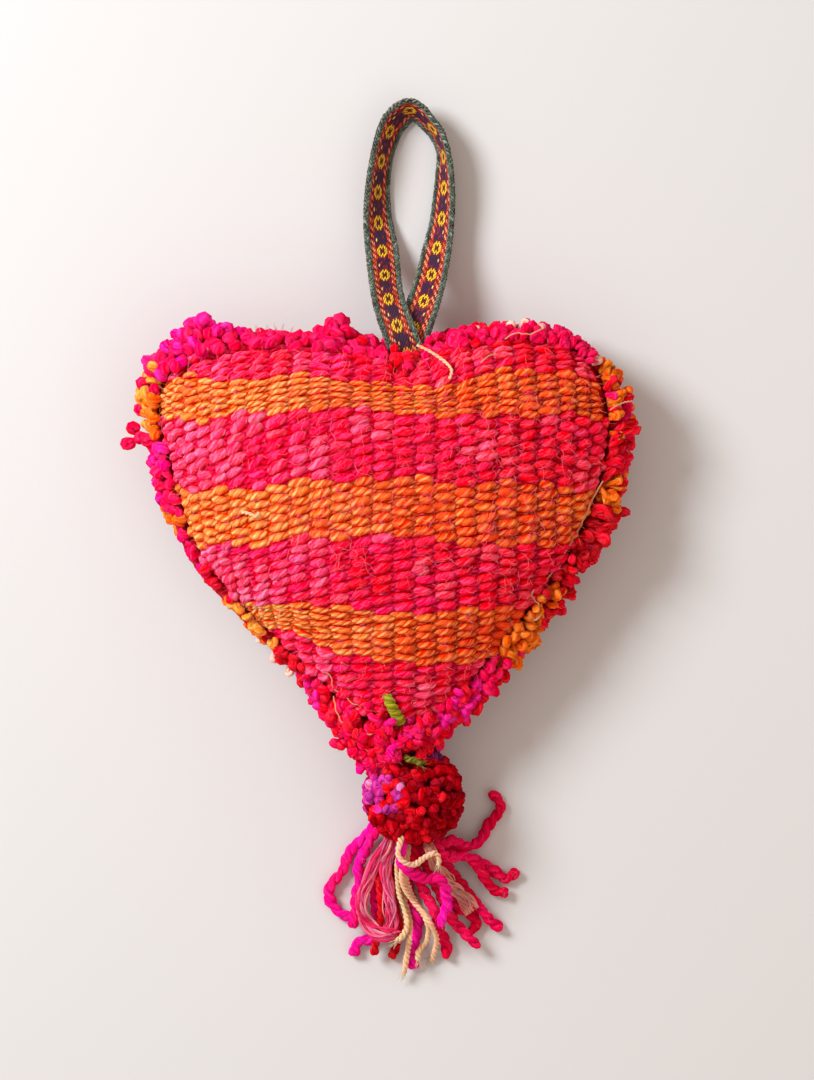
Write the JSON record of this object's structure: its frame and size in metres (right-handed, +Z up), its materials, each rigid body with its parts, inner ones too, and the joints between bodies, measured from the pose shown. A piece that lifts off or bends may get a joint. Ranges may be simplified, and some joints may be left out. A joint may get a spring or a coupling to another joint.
{
  "type": "wool heart ornament",
  "caption": "Stuffed woven wool heart with a looped fringe round its seam, a folded woven band to hang it by, and a pompom and yarn tassel at its point, lying on its back.",
  "frame": {"origin": "on the floor, under the middle of the whole ornament as it lies on its back", "axes": "+Y from the tassel to the hanging loop, +Z up out of the woven front, +X to the right of someone who looks down on the front"},
  "size_m": [0.2572, 0.4417, 0.074],
  "materials": {
    "woven_heart": "hand-woven thick wool in hot pink with wavy orange stripes, matt and slightly fuzzy",
    "wool_fringe": "loops of the weaving's own wool, hot pink and orange, matt and fuzzy",
    "woven_band": "fine warp-faced band in dark red and green with small yellow and orange figures",
    "pompom_wool": "clipped wool in clumps, deep red with a purple-pink side",
    "green_yarn": "olive green two-ply yarn",
    "bright_pink_yarn": "bright magenta pink two-ply wool yarn, softly fuzzy",
    "deep_pink_yarn": "deep crimson pink two-ply wool yarn, softly fuzzy",
    "red_yarn": "red two-ply wool yarn",
    "salmon_roving": "loose, barely twisted salmon pink wool",
    "cream_cord": "thin cream two-ply cord with frayed ends"
  },
  "bodies": {
    "root": {"heart_cushion": "woven_heart", "edge_fringe": "wool_fringe", "hanging_band": "woven_band", "pompom": "pompom_wool", "green_tie": "green_yarn", "pink_strand_right_1": "deep_pink_yarn", "pink_strand_right_2": "deep_pink_yarn", "pink_strand_right_3": "deep_pink_yarn", "pink_strand_right_4": "deep_pink_yarn", "pink_strand_low_1": "deep_pink_yarn", "pink_strand_low_2": "deep_pink_yarn", "pink_strand_low_3": "deep_pink_yarn", "pink_strand_low_4": "bright_pink_yarn", "pink_strand_left_1": "bright_pink_yarn", "pink_strand_left_2": "bright_pink_yarn", "pink_strand_left_3": "bright_pink_yarn", "pink_strand_top": "bright_pink_yarn", "red_strand_1": "red_yarn", "red_strand_2": "red_yarn", "salmon_roving_1": "salmon_roving", "salmon_roving_2": "salmon_roving", "salmon_roving_3": "salmon_roving", "cream_cord_1": "cream_cord", "cream_cord_2": "cream_cord", "cream_cord_3": "cream_cord", "cream_cord_4": "cream_cord", "cream_cord_5": "cream_cord"}
  },
  "joints": []
}
